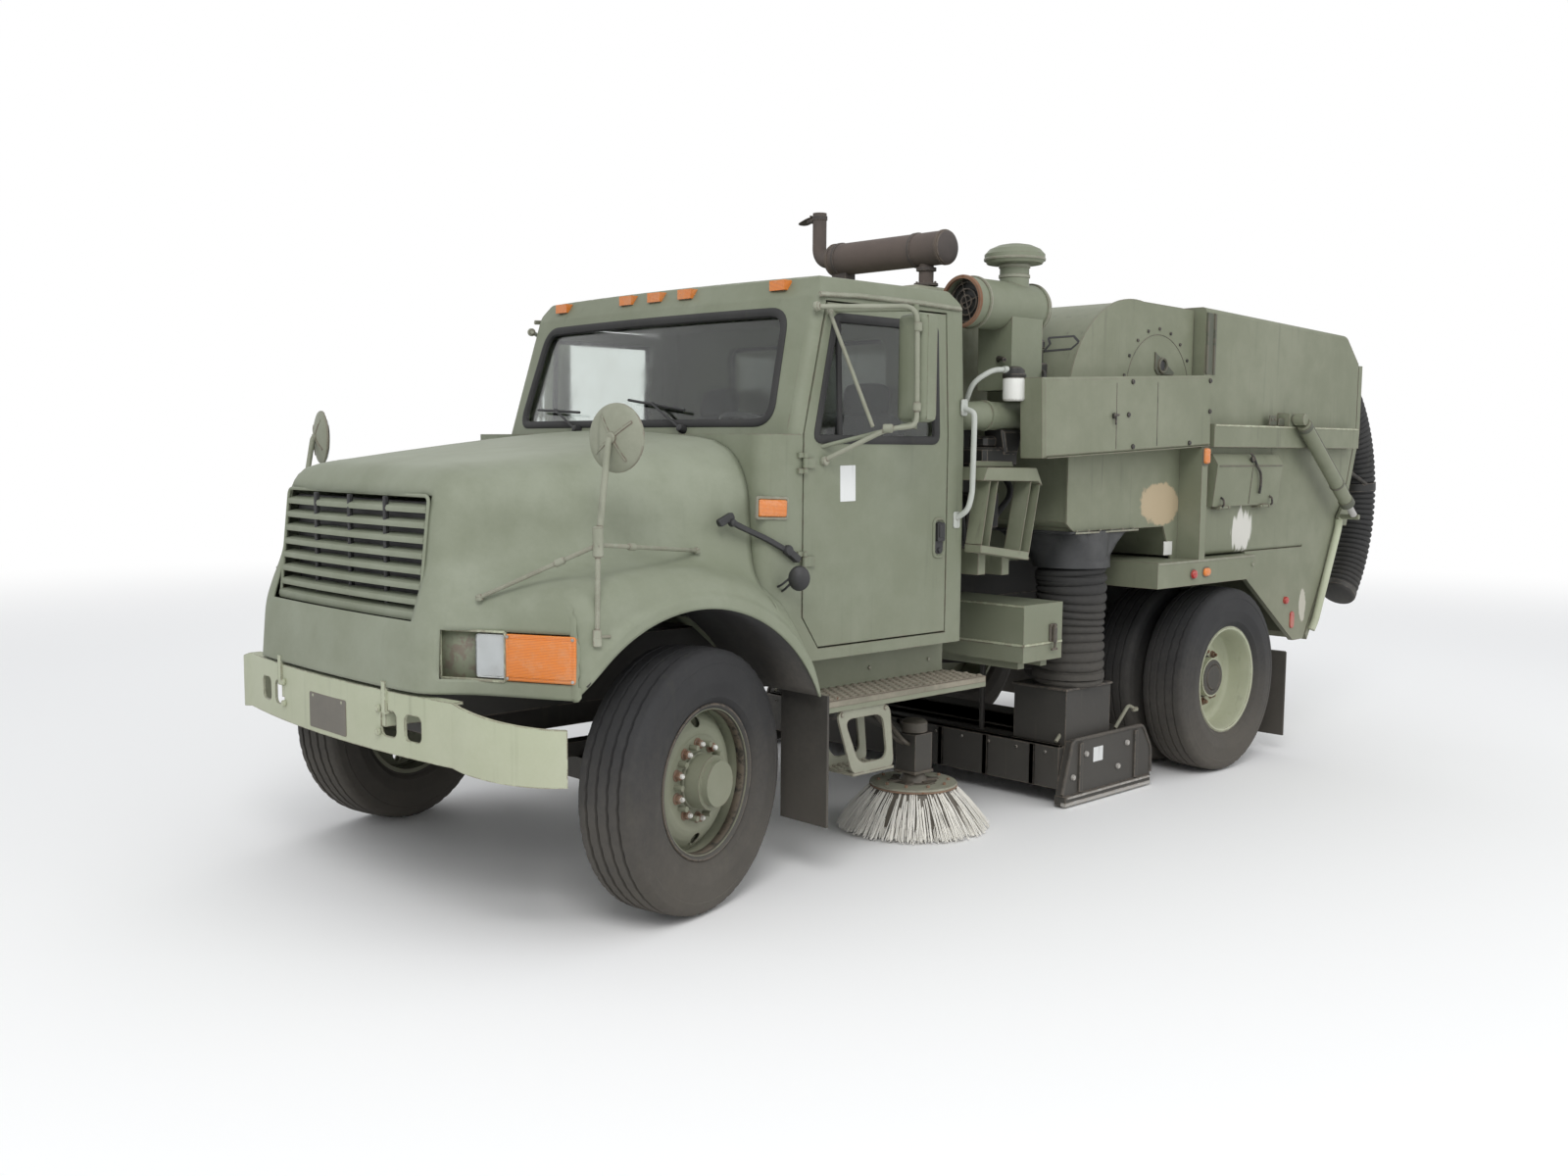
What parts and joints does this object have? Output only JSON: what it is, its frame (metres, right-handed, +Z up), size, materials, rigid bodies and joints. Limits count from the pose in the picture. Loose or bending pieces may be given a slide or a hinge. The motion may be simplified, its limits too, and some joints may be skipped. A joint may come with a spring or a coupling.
{
  "type": "street sweeper truck",
  "caption": "Hooded cab truck carrying a vacuum street sweeper body: blower drum, tilting hopper with rear dump door, pickup head, suction hoses and gutter brooms.",
  "frame": {"origin": "centre of the bounding box's bottom, on the ground", "axes": "the truck faces -Y, its left side is +X, +Z is up"},
  "size_m": [2.7, 6.8065, 2.9898],
  "materials": {
    "olive_paint": "matt",
    "body_paint": "matt",
    "green_trim": "matt",
    "frame_black": "satin",
    "head_black": "satin",
    "rust_metal": "rough",
    "steel": "satin",
    "tyre_rubber": "matt",
    "rubber_black": "matt",
    "glass_clear": "clear",
    "lamp_clear": "clear",
    "lamp_amber": "gloss",
    "seat_cover": "matt",
    "trim_black": "matt",
    "bristle_white": "matt"
  },
  "bodies": {
    "chassis": {"frame_rails": "frame_black", "front_axle": "frame_black", "rear_axle": "frame_black", "leaf_springs": "frame_black", "engine": "frame_black", "bumper": "green_trim", "cab_shell": "olive_paint", "cab_glazing": "glass_clear", "seats": "seat_cover", "dashboard": "trim_black", "roof_markers": "lamp_amber", "cab_steps": "olive_paint", "mudflaps": "rubber_black", "tool_box": "olive_paint", "fuel_tank": "frame_black", "aux_engine": "frame_black", "engine_cowl": "olive_paint", "exhaust": "rust_metal", "air_cleaner": "frame_black", "blower_housing": "body_paint", "belt_guard": "body_paint", "rear_fenders": "body_paint", "hose_transitions": "rubber_black"},
    "knuckle_left": {"knuckle_left": "frame_black"},
    "knuckle_right": {"knuckle_right": "frame_black"},
    "wheel_front_left": {"tyre_front_left": "tyre_rubber", "rim_front_left": "olive_paint"},
    "wheel_front_right": {"tyre_front_right": "tyre_rubber", "rim_front_right": "olive_paint"},
    "wheels_rear_left": {"tyres_rear_left": "tyre_rubber", "rims_rear_left": "green_trim"},
    "wheels_rear_right": {"tyres_rear_right": "tyre_rubber", "rims_rear_right": "green_trim"},
    "tie_rod": {"tie_rod": "frame_black"},
    "hood": {"hood": "olive_paint", "grille": "green_trim", "headlamps": "lamp_clear", "turn_lamps": "lamp_amber", "fender_mirrors": "trim_black"},
    "cab_door_left": {"cab_door_left": "olive_paint", "door_glass_left": "glass_clear"},
    "cab_door_right": {"cab_door_right": "olive_paint", "door_glass_right": "glass_clear"},
    "hopper": {"hopper": "body_paint"},
    "dump_door": {"dump_door": "body_paint", "rear_hose": "rubber_black"},
    "cylinder_barrel_left": {"cylinder_barrel_left": "body_paint"},
    "cylinder_barrel_right": {"cylinder_barrel_right": "body_paint"},
    "cylinder_rod_left": {"cylinder_rod_left": "steel"},
    "cylinder_rod_right": {"cylinder_rod_right": "steel"},
    "broom_arm_left": {"broom_arm_left": "frame_black"},
    "broom_arm_right": {"broom_arm_right": "frame_black"},
    "broom_left": {"broom_left": "bristle_white"},
    "broom_right": {"broom_right": "bristle_white"},
    "pickup_head": {"pickup_head": "head_black", "head_hoses": "rubber_black"},
    "inspection_door_left": {"inspection_door_left": "body_paint"},
    "inspection_door_right": {"inspection_door_right": "body_paint"},
    "tool_box_cover": {"tool_box_cover": "olive_paint"}
  },
  "joints": [
    {"name": "steering_left", "type": "hinge", "parent": "chassis", "child": "knuckle_left", "pos_m": [0.858, -2.498, 0.515], "axis": [0, 0, 1], "range_deg": [-51, 21]},
    {"name": "front_wheel_left_turn", "type": "hinge", "parent": "knuckle_left", "child": "wheel_front_left", "pos_m": [1.02221, -2.454, 0.515], "axis": [0.9659, 0.2588, 0], "continuous": true},
    {"name": "rear_wheels_left_turn", "type": "hinge", "parent": "chassis", "child": "wheels_rear_left", "pos_m": [0.92, 1.337, 0.515], "axis": [1, 0, 0], "continuous": true},
    {"name": "steering_right", "type": "hinge", "parent": "chassis", "child": "knuckle_right", "pos_m": [-0.858, -2.498, 0.515], "axis": [0, 0, 1], "range_deg": [-51, 21]},
    {"name": "front_wheel_right_turn", "type": "hinge", "parent": "knuckle_right", "child": "wheel_front_right", "pos_m": [-1.02221, -2.542, 0.515], "axis": [0.9659, 0.2588, 0], "continuous": true},
    {"name": "rear_wheels_right_turn", "type": "hinge", "parent": "chassis", "child": "wheels_rear_right", "pos_m": [-0.92, 1.337, 0.515], "axis": [1, 0, 0], "continuous": true},
    {"name": "tie_rod_pivot", "type": "hinge", "parent": "knuckle_left", "child": "tie_rod", "pos_m": [0.81529, -2.33862, 0.404], "axis": [0, 0, 1], "range_deg": [-21, 51]},
    {"name": "hood_tilt", "type": "hinge", "parent": "chassis", "child": "hood", "pos_m": [0, -3.378, 0.905], "axis": [1, 0, 0], "range_deg": [0, 55]},
    {"name": "cab_door_left_hinge", "type": "hinge", "parent": "chassis", "child": "cab_door_left", "pos_m": [1.047, -1.842, 1.6], "axis": [0, 0, -1], "range_deg": [0, 65]},
    {"name": "cab_door_right_hinge", "type": "hinge", "parent": "chassis", "child": "cab_door_right", "pos_m": [-1.047, -1.842, 1.6], "axis": [0, 0, 1], "range_deg": [0, 65]},
    {"name": "hopper_tilt", "type": "hinge", "parent": "chassis", "child": "hopper", "pos_m": [0, 2.237, 0.76], "axis": [-1, 0, 0], "range_deg": [0, 26]},
    {"name": "dump_door_hinge", "type": "hinge", "parent": "hopper", "child": "dump_door", "pos_m": [0, 2.932, 2.35], "axis": [1, 0, 0], "range_deg": [0, 50]},
    {"name": "cylinder_left_pivot", "type": "hinge", "parent": "hopper", "child": "cylinder_barrel_left", "pos_m": [1.266, 1.932, 1.965], "axis": [1, 0, 0], "range_deg": [0, 22.77]},
    {"name": "cylinder_left_extend", "type": "slide", "parent": "cylinder_barrel_left", "child": "cylinder_rod_left", "axis": [0, 0.7926, -0.6097], "range_m": [0, 0.6876]},
    {"name": "broom_arm_left_swing", "type": "hinge", "parent": "chassis", "child": "broom_arm_left", "pos_m": [0.5, -1.098, 0.59], "axis": [0, 0, -1], "range_deg": [0, 25]},
    {"name": "broom_left_turn", "type": "hinge", "parent": "broom_arm_left", "child": "broom_left", "pos_m": [0.8, -0.858, 0.22], "axis": [0, 0, 1], "continuous": true},
    {"name": "inspection_door_left_hinge", "type": "hinge", "parent": "hopper", "child": "inspection_door_left", "pos_m": [1.196, 1.487, 1.474], "axis": [0, 1, 0], "range_deg": [0, 100]},
    {"name": "cylinder_right_pivot", "type": "hinge", "parent": "hopper", "child": "cylinder_barrel_right", "pos_m": [-1.266, 1.932, 1.965], "axis": [1, 0, 0], "range_deg": [0, 22.77]},
    {"name": "cylinder_right_extend", "type": "slide", "parent": "cylinder_barrel_right", "child": "cylinder_rod_right", "axis": [0, 0.7926, -0.6097], "range_m": [0, 0.6876]},
    {"name": "broom_arm_right_swing", "type": "hinge", "parent": "chassis", "child": "broom_arm_right", "pos_m": [-0.5, -1.098, 0.59], "axis": [0, 0, 1], "range_deg": [0, 25]},
    {"name": "broom_right_turn", "type": "hinge", "parent": "broom_arm_right", "child": "broom_right", "pos_m": [-0.8, -0.858, 0.22], "axis": [0, 0, 1], "continuous": true},
    {"name": "inspection_door_right_hinge", "type": "hinge", "parent": "hopper", "child": "inspection_door_right", "pos_m": [-1.196, 1.487, 1.474], "axis": [0, -1, 0], "range_deg": [0, 100]},
    {"name": "pickup_head_lift", "type": "slide", "parent": "chassis", "child": "pickup_head", "axis": [0, 0, 1], "range_m": [0, 0.11]},
    {"name": "tool_box_cover_hinge", "type": "hinge", "parent": "chassis", "child": "tool_box_cover", "pos_m": [0.466, -0.228, 1.044], "axis": [0, -1, 0], "range_deg": [0, 50]}
  ],
  "couplings": [
    {"joint": "steering_right", "follows": "steering_left", "ratio": 1},
    {"joint": "tie_rod_pivot", "follows": "steering_left", "ratio": -1},
    {"joint": "cylinder_left_pivot", "follows": "dump_door_hinge", "ratio": 0.45132},
    {"joint": "cylinder_left_extend", "follows": "dump_door_hinge", "m_per_rad": 0.78568},
    {"joint": "cylinder_right_pivot", "follows": "dump_door_hinge", "ratio": 0.45132},
    {"joint": "cylinder_right_extend", "follows": "dump_door_hinge", "m_per_rad": 0.78568}
  ]
}
